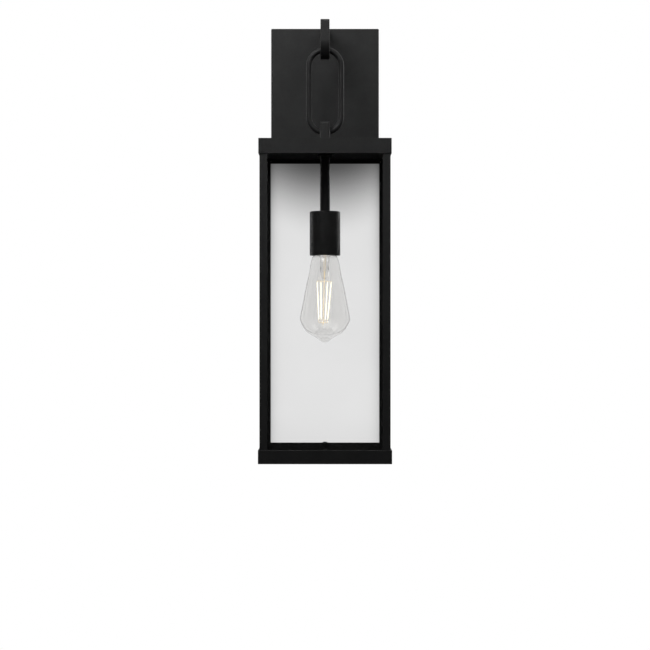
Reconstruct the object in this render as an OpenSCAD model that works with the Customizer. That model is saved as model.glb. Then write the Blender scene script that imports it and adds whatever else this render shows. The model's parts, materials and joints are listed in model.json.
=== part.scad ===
// Outdoor wall lantern: a square glazed body on a wall plate, with a hook, an oval
// link and a lug above it. Millimetres, +Z up. The origin is on the wall, behind the
// centre of the wall plate, and the lantern stands out from the wall towards -Y.

/* [Wall plate] */
// Width of the wall plate
plate_w = 142; // [130:1:150]
// Height of the wall plate
plate_h = 176; // [160:1:190]
// Distance from the wall to the front of the wall plate
plate_d = 22; // [20:1:30]
// Thickness of the wall plate's sheet metal
plate_t = 1.5; // [1:0.1:2]

/* [Lantern body] */
// Width and depth of the cap
cap_w = 165; // [158:1:170]
// Height of the cap's skirt
cap_h = 18.7; // [17:0.1:22]
// Drop from the centre of the wall plate to the top of the cap
cap_drop = 71.3; // [69:0.1:73]
// Height of the whole body, from the top of the cap to the underside of the bottom rim
body_h = 403.3; // [380:0.1:430]
// Width and depth of the bottom rim
rim_w = 166; // [163:1:172]
// Height of the bottom rim
rim_h = 17; // [14:0.5:22]
// Width of each face of the corner posts
post_w = 9.6; // [8:0.1:12]
// Thickness of the glass panes
glass_t = 3; // [2:0.5:3]

/* [Hook and link] */
// Width of the hook's flat bar
hook_w = 11.5; // [10:0.5:12]
// Thickness of the hook's flat bar
hook_t = 7.3; // [6:0.1:7.5]
// Outer radius of the hook's curl
hook_r = 22; // [21:0.5:22]
// Straight length at the front of the hook, above its curl
hook_drop = 26.5; // [26:0.1:27]
// Height of the hook's top above the centre of the wall plate
hook_top = 85.2; // [84:0.1:86]
// Overall height of the link
link_h = 112.6; // [112:0.1:113]
// Overall width of the link
link_w = 48.3; // [44:0.1:54]
// Diameter of the link's round bar
link_bar_d = 7.2; // [6:0.1:7.5]
// Width of the lug on the cap
lug_w = 12.7; // [11:0.1:14]

/* [Lamp holder] */
// Diameter of the tube that carries the socket
rod_d = 12.7; // [12:0.1:14]
// Length of the tube that carries the socket
rod_l = 69.8; // [60:0.1:80]
// Diameter of the socket cup
cup_d = 39; // [38:0.5:42]
// Height of the socket cup
cup_h = 56.2; // [55:0.1:60]

/* [Bulb] */
// Largest diameter of the bulb
bulb_d = 64; // [60:0.5:66]
// Length of the bulb's glass below its metal base
bulb_glass_l = 114; // [110:1:118]

/* [Hidden] */
$fn = 48;

black = [0.05, 0.05, 0.055];
clear = [0.8, 0.9, 0.95, 0.3];

// Wall plate and what fixes it
gasket_t = 1.5;
gasket_inset = 1;
gasket_band = 4.5;
plate_corner_r = 1.5;
bracket_half = 64.5;
bracket_t = 1.8;
bracket_h = 30;
bracket_tab_l = 17;
box_screw_spacing = 88.9;
box_screw_r = 2.25;
set_screw_r = 2;
set_screw_y = -12;
ground_screw_x = 22;

// Cap, ceiling plate and the hollow between them
body_y = -(plate_d + cap_w / 2);
sheet = 1.2;
cap_top = -cap_drop;
cap_under = cap_top - sheet;
skirt_bottom = cap_top - cap_h;
ceiling_gap = 10.6;
ceiling_top = cap_under - ceiling_gap;
ceiling_bottom = ceiling_top - plate_t;
wire_z = (cap_under + ceiling_top) / 2;
wire_hole_r = 4.5;
fixing_x = 45;
fixing_r = 2.5;

// Frame
frame_w = cap_w - 2 * sheet - 0.4;
post_t = 2.4;
foot_w = 13.6;
corner_screw = frame_w / 2 - 8.6;
corner_screw_r = 1.7;
corner_head_r = 2.7;
rim_bottom = cap_top - body_h;
rim_top = rim_bottom + rim_h;
rim_t = 1.6;
ledge_w = 14;
ledge_top = rim_bottom + plate_t;
post_l = ceiling_bottom - ledge_top;
glass_out = frame_w / 2 - post_t - 0.3;
glass_bottom = ledge_top + post_t + 0.3;
glass_h = post_l - 2 * post_t - 0.6;

// Hook, link and lug
axis_u = -body_y;
curl_z = hook_top - hook_drop;
hook_seat = curl_z - hook_r + hook_t;
hook_arm_z = hook_top - hook_t / 2;
hook_stud_r = 3;
link_end_r = (link_w - link_bar_d) / 2;
link_top = hook_seat + 1.3 + link_bar_d;
link_pivot = link_top - link_bar_d / 2;
link_bottom = link_top - link_h;
lug_gap = 14;
lug_leg = 8;
link_inner_r = link_end_r - link_bar_d / 2;
lug_saddle = link_inner_r - sqrt(link_inner_r * link_inner_r - lug_w * lug_w / 4);
lug_eye_top = link_bottom + link_bar_d + lug_saddle + 0.35;
lug_top = lug_eye_top + 7.3;
lug_stud_y = (lug_gap + lug_leg) / 2;
lug_stud_r = 2.5;

// Lamp holder
collar_h = 3.2;
collar_r = 10.5;
rod_top = ceiling_bottom - collar_h;
rod_bottom = rod_top - rod_l;
rod_thread_r = 4.9;
rod_bore_r = 3.4;
cup_bottom = rod_bottom - cup_h;
cup_t = 1.2;
cup_edge_r = 1.5;
body_r = 17.4;
body_neck_r = 13;
body_top = rod_bottom - 12;
body_shoulder = body_top - 9;
terminal_z = body_top - 5;
terminal_head_r = 3;
holder_leg_y = 11.9;
holder_t = 1.2;
holder_screw_y = 8.3;
body_bottom = cup_bottom + 6;
shell_r = 14.4;
shell_bore_r = 13.7;
shell_top = body_bottom + 26;

// Bulb
base_bottom = cup_bottom + 2.6;
base_shell_h = 21.5;
base_r = 13.2;
contact_top = base_bottom + 27;
insulator_top = base_bottom + 25.2;
bulb_tip = base_bottom - bulb_glass_l;
bulb_r = bulb_d / 2;
bulb_wall = 0.8;
stem_foot = base_bottom + 1.5;
stem_l = 34;
filament_top = base_bottom - 36;
filament_l = 49;
filament_bottom = filament_top - filament_l;
filament_top_r = 9.9;
filament_bottom_r = 6.2;
filament_turn = 25;
stem_lean = 1.5;

// Routes of the leads inside, as [x, y, z] points: down the tube, through the hollow of
// the cap and back through the grommet into the wall plate
lead_r = 1.1;
lead_sides = 8;
rod_y = body_y;
lead_x = 1.5;
lead_route = [[14.5, rod_y, terminal_z + terminal_head_r], [14.5, rod_y, body_top + 0.4],
              [13.2, rod_y, body_top + 2.4], [10, rod_y, body_top + 2.8],
              [6, rod_y, body_top + 2.9], [3, rod_y, body_top + 4],
              [1.8, rod_y, body_top + 6.5], [lead_x, rod_y, body_top + 11],
              [lead_x, rod_y, rod_bottom + 30], [lead_x, rod_y, ceiling_top - 2],
              [lead_x + 0.3, rod_y, ceiling_top + 3.2], [4, rod_y + 1.5, ceiling_top + 6.6],
              [8, rod_y + 6, ceiling_top + 6.6], [10.5, rod_y + 14, ceiling_top + 6],
              [10, rod_y + 30, wire_z], [6, rod_y + 52, wire_z], [1.7, rod_y + 74, wire_z],
              [lead_x, rod_y + 84, wire_z], [2, -15, wire_z + 1.5], [6, -12, wire_z + 9],
              [10, -11, wire_z + 20], [12, -11, wire_z + 30]];
ground_route = [[ground_screw_x, -3.5, -7], [ground_screw_x, -3.5, -10.6],
                [ground_screw_x + 0.6, -5, -13.6], [ground_screw_x + 2.5, -8.5, -17.5],
                [ground_screw_x + 4, -10.7, -22], [ground_screw_x + 4.5, -11, -27]];
connector_h = 22;
connector_r = 6;

// Outline of the bulb: [share of the largest radius, share of the glass length below
// the base], from the neck round the widest part to the sealed tip
bulb_keys = [[0.39, -0.02], [0.395, 0.008], [0.43, 0.02], [0.5, 0.04], [0.545, 0.07],
             [0.595, 0.13], [0.645, 0.22], [0.715, 0.31], [0.79, 0.405], [0.86, 0.51],
             [0.93, 0.61], [0.982, 0.685], [1.0, 0.735], [0.968, 0.775], [0.908, 0.81],
             [0.8, 0.858], [0.64, 0.9], [0.46, 0.926], [0.33, 0.946], [0.22, 0.97],
             [0.12, 0.991], [0.0, 1.0]];
bulb_steps = 2;

function mix(a, b, t) = a + (b - a) * t;

// A point on the smooth curve through four points, between the second and the third
function blend(a, b, c, d, t) =
    0.5 * (2 * b + (c - a) * t + (2 * a - 5 * b + 4 * c - d) * t * t
           + (3 * b - a - 3 * c + d) * t * t * t);

// The smooth curve through a list of points, with n steps between each two
function smooth(p, n) = let (last = len(p) - 1) concat(
    [for (i = [0 : last - 1], k = [0 : n - 1])
        blend(p[max(i - 1, 0)], p[i], p[i + 1], p[min(i + 2, last)], k / n)],
    [p[last]]);

// Bulb outline moved in by the wall, as [radius, height]
function bulb_outline(inset) = [for (q = smooth(bulb_keys, bulb_steps))
    [max(q[0] * bulb_r - inset, 0),
     base_bottom - q[1] * (bulb_glass_l - inset)]];

function unit(v) = v / norm(v);
function side_of(t) = unit(cross(t, abs(t[0]) < 0.9 ? [1, 0, 0] : [0, 1, 0]));

// Direction of a route at point i
function heading(p, i) = unit(p[min(i + 1, len(p) - 1)] - p[max(i - 1, 0)]);

module at_body() {
    translate([0, body_y, 0]) children();
}

// A square or oblong with rounded corners, centred
module rounded(w, d, r) {
    square([w - 2 * r, d], center = true);
    square([w, d - 2 * r], center = true);
    for (x = [-1, 1], y = [-1, 1])
        translate([x * (w / 2 - r), y * (d / 2 - r)]) circle(r);
}

// An upright prism with rounded corners that stands on height z
module block(w, d, h, z, r) {
    translate([0, 0, z]) linear_extrude(h) rounded(w, d, r);
}

// A plain plate centred on the axis, standing on height z
module slab(w, d, h, z) {
    translate([-w / 2, -d / 2, z]) cube([w, d, h]);
}

// A slab parallel to the wall, from distance y0 to y1 in front of it
module wall_slab(w, h, y0, y1, r) {
    translate([0, -y0, 0]) rotate([90, 0, 0]) linear_extrude(y1 - y0) rounded(w, h, r);
}

// A round bar or hole square to the wall, from distance y0 to y1 in front of it
module wall_rod(r, y0, y1, x, z) {
    translate([x, -y0, z]) rotate([90, 0, 0]) cylinder(h = y1 - y0, r = r);
}

// A profile drawn as [distance from the wall, height], spread to width w across X
module side_profile(w) {
    rotate([90, 0, -90]) translate([0, 0, -w / 2]) linear_extrude(w) children();
}

// A hexagon nut: width across the flats, thickness, hole radius
module hex_nut(flats, h, r) {
    difference() {
        cylinder(h = h, r = flats / 2 / cos(30), $fn = 6);
        translate([0, 0, -1]) cylinder(h = h + 2, r = r);
    }
}

// A ring, standing on height z
module ring(ro, ri, h, z) {
    translate([0, 0, z]) difference() {
        cylinder(h = h, r = ro);
        translate([0, 0, -1]) cylinder(h = h + 2, r = ri);
    }
}

// A pan-head screw that points up from z = 0, with its head below
module pan_screw(r, l, head_r, head_h) {
    cylinder(h = l, r = r);
    translate([0, 0, -head_h]) cylinder(h = head_h, r = head_r);
}

// A tube or wire of radius r along the points p
module wire(p, r, sides) {
    n = len(p);
    pts = [for (i = [0 : n - 1]) let (t = heading(p, i), a = side_of(t), b = cross(t, a))
        for (k = [0 : sides - 1]) p[i] + r * (cos(360 * k / sides) * a + sin(360 * k / sides) * b)];
    walls = [for (i = [0 : n - 2], k = [0 : sides - 1]) let (m = (k + 1) % sides)
        [i * sides + k, i * sides + m, (i + 1) * sides + m, (i + 1) * sides + k]];
    first = [for (k = [0 : sides - 1]) sides - 1 - k];
    last = [for (k = [0 : sides - 1]) (n - 1) * sides + k];
    polyhedron(pts, concat(walls, [first, last]));
}

module each_corner() {
    for (x = [-1, 1], y = [-1, 1])
        translate([x * corner_screw, y * corner_screw, 0]) children();
}

module wall_gasket() {
    outer_w = plate_w - 2 * gasket_inset;
    outer_h = plate_h - 2 * gasket_inset;
    color([0.1, 0.1, 0.1]) difference() {
        wall_slab(outer_w, outer_h, 0, gasket_t, 1);
        wall_slab(outer_w - 2 * gasket_band, outer_h - 2 * gasket_band, -1, gasket_t + 1, 1);
    }
}

module mounting_bracket() {
    color("silver") difference() {
        union() {
            translate([-bracket_half, -bracket_t, -bracket_h / 2])
                cube([2 * bracket_half, bracket_t, bracket_h]);
            for (s = [-1, 1])
                translate([s * bracket_half - (s + 1) * bracket_t / 2, -bracket_tab_l, -12])
                    cube([bracket_t, bracket_tab_l, 24]);
        }
        for (s = [-1, 1]) {
            wall_rod(box_screw_r, -1, 3, s * box_screw_spacing / 2, 0);
            translate([s * bracket_half, set_screw_y, 0]) rotate([0, 90, 0])
                cylinder(h = 6, r = set_screw_r + 0.05, center = true);
        }
        wall_rod(2, -1, 3, ground_screw_x, 0);
    }
}

// Headless screws through the plate's side walls into the bracket's tabs
module bracket_set_screws() {
    color("black") for (s = [-1, 1])
        translate([s * (plate_w / 2 - 5), set_screw_y, 0]) rotate([0, 90 * s, 0])
            difference() {
                translate([0, 0, -5]) cylinder(h = 10, r = set_screw_r);
                translate([0, 0, 3]) cylinder(h = 3, r = 1.15, $fn = 6);
            }
}

module ground_screw() {
    color("green") {
        wall_rod(1.95, 0.3, 3, ground_screw_x, 0);
        translate([ground_screw_x, -3.2, 0]) rotate([90, 0, 0])
            cylinder(h = 3, r = 4.6, $fn = 6);
        wall_rod(4.6, 2.6, 3.2, ground_screw_x, 0);
    }
}

// Ring terminal crimped on the ground lead, between the bracket and the screw's washer
module ground_terminal() {
    y = bracket_t;
    color("silver") difference() {
        union() {
            wall_rod(4.4, y, y + 0.8, ground_screw_x, 0);
            translate([ground_screw_x - 1.5, -y - 0.8, -10]) cube([3, 0.8, 7]);
            translate([ground_screw_x, -y - 1.7, -10]) cylinder(h = 4.8, r = 1.65);
        }
        wall_rod(2.1, y - 1, y + 2, ground_screw_x, 0);
        translate([ground_screw_x, -y - 1.7, -11]) cylinder(h = 5.1, r = lead_r + 0.05);
    }
}

module backplate() {
    inner_w = plate_w - 2 * plate_t;
    inner_h = plate_h - 2 * plate_t;
    color(black) difference() {
        wall_slab(plate_w, plate_h, gasket_t, plate_d, plate_corner_r);
        wall_slab(inner_w, inner_h, 0, plate_d - plate_t, plate_corner_r);
        wall_rod(hook_stud_r + 0.2, plate_d - 5, plate_d + 1, 0, hook_arm_z);
        wall_rod(wire_hole_r, plate_d - 5, plate_d + 1, 0, wire_z);
        for (s = [-1, 1]) {
            wall_rod(fixing_r + 0.2, plate_d - 5, plate_d + 1, s * fixing_x, wire_z);
            translate([s * plate_w / 2, set_screw_y, 0]) rotate([0, 90, 0])
                cylinder(h = 6, r = set_screw_r + 0.05, center = true);
        }
    }
}

// Flat bar: out from the plate, down at the front, and curled under and back
module hook_arm() {
    tip_r = hook_t / 2;
    front_u = axis_u + hook_r;
    color(black) {
        side_profile(hook_w) {
            difference() {
                translate([plate_d, hook_top - hook_t]) square([front_u - plate_d, hook_t]);
                translate([front_u - 2, hook_top - 2]) square(3);
            }
            translate([front_u - 2, hook_top - 2]) circle(2);
            translate([front_u - hook_t, curl_z]) square([hook_t, hook_top - hook_t - curl_z + 1]);
            difference() {
                translate([axis_u, curl_z]) circle(hook_r, $fn = 96);
                translate([axis_u, curl_z]) circle(hook_r - hook_t, $fn = 96);
                translate([axis_u - hook_r - 1, curl_z]) square([2 * hook_r + 2, hook_r + 1]);
            }
            translate([axis_u - hook_r + tip_r, curl_z]) circle(tip_r);
        }
        wall_rod(hook_stud_r, plate_d - 12, plate_d + 1, 0, hook_arm_z);
    }
}

module hook_washer() {
    color("silver") translate([0, -(plate_d - plate_t), hook_arm_z]) rotate([-90, 0, 0])
        ring(5, hook_stud_r + 0.15, 1.2, 0);
}

module hook_nut() {
    color("silver") translate([0, -(plate_d - plate_t - 1.2), hook_arm_z]) rotate([-90, 0, 0])
        hex_nut(9, 4.5, hook_stud_r);
}

// Rubber ring that guards the leads where they pass from the cap into the plate
module wire_grommet() {
    mid = plate_d + (sheet - plate_t) / 2;
    half = (sheet + plate_t) / 2;
    color([0.1, 0.1, 0.1]) translate([0, -mid, wire_z]) rotate([90, 0, 0]) {
        ring(wire_hole_r, 2.9, 2 * half, -half);
        ring(wire_hole_r + 0.5, 2.9, 1, half);
        ring(wire_hole_r + 0.5, 2.9, 1, -half - 1);
    }
}

module cap_fixing_screws() {
    head = plate_d - plate_t;
    color("silver") for (s = [-1, 1]) {
        wall_rod(fixing_r, head, plate_d + sheet + 6, s * fixing_x, wire_z);
        wall_rod(4.2, head - 2.6, head, s * fixing_x, wire_z);
    }
}

module cap_fixing_nuts() {
    color("silver") for (s = [-1, 1])
        translate([s * fixing_x, -(plate_d + sheet), wire_z]) rotate([90, 0, 0])
            hex_nut(8, 4, fixing_r);
}

module cap() {
    color(black) at_body() difference() {
        block(cap_w, cap_w, cap_h, skirt_bottom, plate_corner_r);
        slab(cap_w - 2 * sheet, cap_w - 2 * sheet, cap_h, skirt_bottom - sheet);
        for (s = [-1, 1])
            translate([0, s * lug_stud_y, cap_top - 5]) cylinder(h = 10, r = lug_stud_r + 0.2);
        translate([0, -body_y, 0]) {
            wall_rod(wire_hole_r, plate_d - 1, plate_d + 4, 0, wire_z);
            for (s = [-1, 1])
                wall_rod(fixing_r + 0.2, plate_d - 1, plate_d + 4, s * fixing_x, wire_z);
        }
    }
}

// Threaded spacers that hold the ceiling plate and the frame under the cap
module cap_standoffs() {
    color("silver") at_body() each_corner()
        ring(3.5, corner_screw_r - 0.1, ceiling_gap, ceiling_top);
}

module ceiling_plate() {
    color(black) at_body() difference() {
        block(frame_w - 0.4, frame_w - 0.4, plate_t, ceiling_bottom, 1);
        translate([0, 0, ceiling_bottom - 1]) cylinder(h = 4, r = rod_thread_r + 0.1);
        translate([0, 0, ceiling_bottom - 1]) each_corner() cylinder(h = 4, r = corner_screw_r + 0.1);
    }
}

module top_frame_screws() {
    color("silver") at_body() translate([0, 0, ceiling_bottom - post_t]) each_corner()
        pan_screw(corner_screw_r - 0.1, post_t + plate_t + 7, corner_head_r, 1.8);
}

// Lug on the cap: a bar bent over the link's lower end, with a stud under each leg
module top_lug() {
    depth = lug_gap + 2 * lug_leg;
    color(black) at_body() {
        intersection() {
            block(lug_w, depth, lug_top - cap_top, cap_top, 3.2);
            translate([0, -body_y, 0]) side_profile(lug_w + 2) difference() {
                translate([axis_u, (lug_top + cap_top) / 2 - 4])
                    rounded(depth, lug_top - cap_top + 8, 3);
                translate([axis_u, lug_eye_top - 10]) rounded(lug_gap, 20, 1.5);
                translate([axis_u - lug_gap / 2, cap_top - 10])
                    square([lug_gap, lug_eye_top - cap_top - 3 + 10]);
            }
        }
        for (s = [-1, 1])
            translate([0, s * lug_stud_y, cap_top - 7]) cylinder(h = 8, r = lug_stud_r);
    }
}

module lug_nuts() {
    color("silver") at_body() for (s = [-1, 1])
        translate([0, s * lug_stud_y, cap_under - 4]) hex_nut(8, 4, lug_stud_r);
}

// Corner post for the +X +Y corner: an angle with a foot at each end
module post() {
    half = frame_w / 2;
    difference() {
        union() {
            difference() {
                translate([half - post_w, half - post_w, ledge_top]) cube([post_w, post_w, post_l]);
                translate([half - post_w - 1, half - post_w - 1, ledge_top - 1])
                    cube([post_w + 1 - post_t, post_w + 1 - post_t, post_l + 2]);
            }
            for (z = [ledge_top, ceiling_bottom - post_t])
                translate([half - foot_w, half - foot_w, z])
                    cube([foot_w - 1, foot_w - 1, post_t]);
        }
        translate([corner_screw, corner_screw, ledge_top - 1])
            cylinder(h = post_l + 2, r = corner_screw_r);
    }
}

module post_rear_right() {
    color(black) at_body() post();
}

module post_rear_left() {
    color(black) at_body() mirror([1, 0, 0]) post();
}

module post_front_right() {
    color(black) at_body() mirror([0, 1, 0]) post();
}

module post_front_left() {
    color(black) at_body() mirror([1, 0, 0]) mirror([0, 1, 0]) post();
}

// Square tray with no floor: an outer wall and a ledge that the frame stands on
module bottom_rim() {
    open_w = rim_w - 2 * (rim_t + ledge_w);
    color(black) at_body() difference() {
        block(rim_w, rim_w, rim_h, rim_bottom, 2);
        slab(rim_w - 2 * rim_t, rim_w - 2 * rim_t, rim_h, ledge_top);
        block(open_w, open_w, rim_h, rim_bottom - 2, 3);
        translate([0, 0, rim_bottom - 1]) each_corner() cylinder(h = 5, r = corner_screw_r - 0.1);
    }
}

// Screws down through the posts' lower feet into the rim's ledge, flush underneath
module bottom_frame_screws() {
    color("black") at_body() translate([0, 0, ledge_top + post_t]) mirror([0, 0, 1]) each_corner()
        pan_screw(corner_screw_r - 0.1, post_t + plate_t, corner_head_r, 1.8);
}

// A pane for the front or rear when w is the full width, or for a side between them
module pane(w) {
    translate([-w / 2, glass_out - glass_t, glass_bottom]) cube([w, glass_t, glass_h]);
}

side_pane_w = 2 * (glass_out - glass_t - 0.3);

module glass_rear() {
    color(clear) at_body() pane(2 * glass_out);
}

module glass_front() {
    color(clear) at_body() mirror([0, 1, 0]) pane(2 * glass_out);
}

module glass_right() {
    color(clear) at_body() rotate([0, 0, -90]) pane(side_pane_w);
}

module glass_left() {
    color(clear) at_body() rotate([0, 0, 90]) pane(side_pane_w);
}

// Spring tabs between the rim and the panes, one in the middle of each side
module glass_clips() {
    clip_w = 5.3;
    color(black) at_body() for (a = [0, 90, 180, 270])
        rotate([0, 0, a]) translate([-clip_w / 2, glass_out + 0.2, ledge_top]) {
            cube([clip_w, 1, rim_top - ledge_top + 1.3]);
            cube([clip_w, 2.6, 1]);
        }
}

module suspension_link() {
    straight = link_h - link_w;
    color(black) at_body() translate([0, 0, link_top - link_h / 2]) rotate([90, 0, 0]) {
        for (s = [-1, 1])
            translate([s * link_end_r, -straight / 2, 0]) rotate([-90, 0, 0])
                cylinder(h = straight, r = link_bar_d / 2);
        for (s = [0, 180])
            rotate([0, 0, s]) translate([0, straight / 2, 0])
                rotate_extrude(angle = 180, $fn = 96)
                    translate([link_end_r, 0]) circle(link_bar_d / 2);
    }
}

module rod_nut() {
    color("silver") at_body() translate([0, 0, ceiling_top]) hex_nut(15, 3, rod_thread_r);
}

module rod_collar() {
    color(black) at_body() ring(collar_r, rod_thread_r + 0.05, collar_h, rod_top);
}

module socket_rod() {
    color(black) at_body() difference() {
        union() {
            translate([0, 0, rod_bottom]) cylinder(h = rod_l, r = rod_d / 2);
            translate([0, 0, rod_bottom - 6]) cylinder(h = rod_l + 6 + 8.4, r = rod_thread_r);
        }
        translate([0, 0, rod_bottom - 7]) cylinder(h = rod_l + 20, r = rod_bore_r);
    }
}

// Deep cup over the porcelain socket, with a rounded shoulder
module socket_cup() {
    r = cup_d / 2;
    e = cup_edge_r;
    shoulder = [for (a = [0 : 15 : 90]) [r - e + e * cos(a), rod_bottom - e + e * sin(a)]];
    color(black) at_body() rotate_extrude($fn = 96)
        polygon(concat([[r - cup_t, cup_bottom], [r, cup_bottom]], shoulder,
                       [[rod_thread_r + 0.05, rod_bottom], [rod_thread_r + 0.05, rod_bottom - cup_t],
                        [r - cup_t, rod_bottom - cup_t]]));
}

// Strap under the cup's roof, with two legs that carry the porcelain socket
module socket_holder() {
    roof = rod_bottom - cup_t - holder_t;
    color("silver") at_body() difference() {
        union() {
            slab(10, 2 * holder_leg_y, holder_t, roof);
            for (s = [-1, 1]) {
                translate([-5, s * holder_leg_y - (s + 1) * holder_t / 2, body_top])
                    cube([10, holder_t, roof - body_top + holder_t]);
                translate([-5, s * (holder_leg_y - 3) - 3, body_top]) cube([10, 6, holder_t]);
            }
        }
        translate([0, 0, roof - 1]) cylinder(h = 4, r = rod_thread_r + 0.05);
        for (s = [-1, 1])
            translate([0, s * holder_screw_y, body_top - 1]) cylinder(h = 4, r = 1.5);
    }
}

module socket_nut() {
    color("silver") at_body() translate([0, 0, rod_bottom - cup_t - holder_t - 3])
        hex_nut(15, 3, rod_thread_r);
}

module socket_holder_screws() {
    color("silver") at_body() for (s = [-1, 1])
        translate([0, s * holder_screw_y, body_top + holder_t]) mirror([0, 0, 1])
            pan_screw(1.4, holder_t + 6, 2.3, 1.6);
}

// Porcelain socket: a neck with the terminals, and a round body that holds the screw shell
module socket_body() {
    color("ivory") at_body() difference() {
        union() {
            translate([0, 0, body_shoulder]) cylinder(h = body_top - body_shoulder, r = body_neck_r);
            translate([0, 0, body_bottom]) cylinder(h = body_shoulder - body_bottom, r = body_r);
        }
        translate([0, 0, body_bottom - 1]) cylinder(h = shell_top - body_bottom + 3, r = shell_r + 0.1);
        for (s = [-1, 1]) {
            translate([s * body_neck_r, 0, terminal_z]) rotate([0, 90, 0])
                cylinder(h = 12, r = 1.6, center = true);
            translate([0, s * holder_screw_y, body_top - 7]) cylinder(h = 8, r = 1.5);
        }
    }
}

module socket_screw_shell() {
    color("gold") at_body() {
        ring(shell_r, shell_bore_r, shell_top - body_bottom - 1, body_bottom + 0.5);
        ring(shell_r, 10, 0.8, shell_top - 0.5);
    }
}

module socket_center_contact() {
    color("gold") at_body() {
        slab(6, 16, 0.7, shell_top + 1.3);
        slab(6, 7, 0.7, contact_top + 0.25);
        translate([-3, 2.8, contact_top + 0.25]) cube([6, 0.7, shell_top + 1.3 - contact_top]);
    }
}

module socket_terminal_screws() {
    color("gold") at_body() for (s = [-1, 1])
        translate([s * (body_neck_r + 0.1), 0, terminal_z]) rotate([0, 90 * s, 0]) {
            translate([0, 0, -5]) cylinder(h = 5.5, r = 1.5);
            cylinder(h = 2.2, r = terminal_head_r);
        }
}

module lead(side) {
    route = smooth(lead_route, 2);
    wire([for (q = route) [side * q[0], q[1], q[2]]], lead_r, lead_sides);
}

module lead_black() {
    color([0.02, 0.02, 0.02]) lead(-1);
}

module lead_white() {
    color("white") lead(1);
}

module ground_lead() {
    color("green") wire(smooth(ground_route, 2), lead_r, lead_sides);
}

// Twist-on connector with its mouth 2 mm below z = 0
module wire_connector() {
    translate([0, 0, -2]) difference() {
        union() {
            cylinder(h = connector_h, r = connector_r - 1.2);
            cylinder(h = connector_h * 0.45, r = connector_r);
        }
        translate([0, 0, -1]) cylinder(h = 8, r = lead_r + 0.6);
    }
}

// The connectors on the free ends of the three leads
module wire_connectors() {
    last = lead_route[len(lead_route) - 1];
    color("orange") {
        for (s = [-1, 1]) translate([s * last[0], last[1], last[2]]) wire_connector();
        translate(ground_route[len(ground_route) - 1]) mirror([0, 0, 1]) wire_connector();
    }
}

// Screw base: a thin shell with rolled threads above a plain skirt
module bulb_base_shell() {
    thread_l = base_shell_h - 6;
    steps = 30;
    pitch = 3.6;
    function thread(h) = base_r - 0.35 - 0.35 * cos(360 * h / pitch);
    outer = [for (i = [0 : steps]) [thread(thread_l * i / steps), base_bottom + 6 + thread_l * i / steps]];
    inner = [for (i = [steps : -1 : 0])
        [thread(thread_l * i / steps) - 0.5, base_bottom + 6 + thread_l * i / steps]];
    color("silver") at_body() rotate_extrude()
        polygon(concat([[base_r - 0.4, base_bottom - 0.6], [base_r, base_bottom - 0.6]], outer, inner));
}

module bulb_base_insulator() {
    top = base_bottom + base_shell_h;
    color([0.05, 0.05, 0.05]) at_body() rotate_extrude()
        polygon([[0, top - 1], [base_r - 1.4, top - 1], [base_r - 1.4, top], [6, insulator_top],
                 [0, insulator_top]]);
}

module bulb_center_contact() {
    color("silver") at_body() translate([0, 0, insulator_top])
        cylinder(h = contact_top - insulator_top, r1 = 4.8, r2 = 3.4);
}

// Clear envelope: a thin closed shell with its neck inside the base
module bulb_glass() {
    outer = bulb_outline(0);
    inner = bulb_outline(bulb_wall);
    color(clear) at_body() rotate_extrude($fn = 72)
        polygon(concat(outer, [for (i = [len(inner) - 1 : -1 : 0]) inner[i]]));
}

// The bulb's inner parts lean a little from its axis, from the foot of the stem down
module at_stem() {
    at_body() translate([0, 0, stem_foot]) rotate([0, stem_lean, 0])
        translate([0, 0, -stem_foot]) children();
}

// Glass foot inside the neck, pinched where the wires are sealed in
module bulb_stem() {
    color(clear) at_stem() translate([0, 0, stem_foot]) rotate_extrude()
        polygon([[0, 0], [11.3, 0], [11.3, -1], [8, -4], [6.5, -9], [5.9, -17], [5.4, -25],
                 [4.4, -30.5], [2.4, 0.6 - stem_l], [1.2, -stem_l], [0, -stem_l]]);
}

// Four short arms that reach out from the centre wire at height z
module filament_arms(reach, z) {
    for (k = [0 : 3])
        translate([0, 0, z]) rotate([0, 90, filament_turn + 90 * k]) cylinder(h = reach, r = 0.4);
}

module bulb_support_wires() {
    wire_bottom = filament_bottom - 3;
    color("goldenrod") at_stem() {
        translate([0, 0, wire_bottom])
            cylinder(h = stem_foot - stem_l - wire_bottom, r = 0.5);
        filament_arms(filament_top_r + 0.4, filament_top + 0.4);
        filament_arms(filament_bottom_r + 0.4, filament_bottom - 0.4);
    }
}

// Four slim filament rods, closer together at the bottom
module bulb_filaments() {
    lean = atan((filament_top_r - filament_bottom_r) / filament_l);
    color("khaki") at_stem() for (k = [0 : 3])
        rotate([0, 0, filament_turn + 90 * k])
            translate([filament_bottom_r, 0, filament_bottom + 0.2]) rotate([0, lean, 0])
                cylinder(h = filament_l - 0.3, r = 0.75);
}

wall_gasket();
mounting_bracket();
bracket_set_screws();
ground_screw();
ground_terminal();
backplate();
hook_arm();
hook_washer();
hook_nut();
wire_grommet();
cap_fixing_screws();
cap_fixing_nuts();
cap();
cap_standoffs();
ceiling_plate();
top_frame_screws();
top_lug();
lug_nuts();
post_front_left();
post_front_right();
post_rear_left();
post_rear_right();
bottom_rim();
bottom_frame_screws();
glass_front();
glass_rear();
glass_left();
glass_right();
glass_clips();
suspension_link();
rod_nut();
rod_collar();
socket_rod();
socket_cup();
socket_holder();
socket_nut();
socket_holder_screws();
socket_body();
socket_screw_shell();
socket_center_contact();
socket_terminal_screws();
lead_black();
lead_white();
ground_lead();
wire_connectors();
bulb_base_shell();
bulb_base_insulator();
bulb_center_contact();
bulb_glass();
bulb_stem();
bulb_support_wires();
bulb_filaments();
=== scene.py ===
"""Outdoor wall lantern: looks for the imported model, in metres, in the model's own frame.

The wall is the plane Y = 0 and the lantern stands out from it towards -Y.
"""
import json
import math

import bmesh
import bpy
from mathutils import Matrix, Vector


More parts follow.
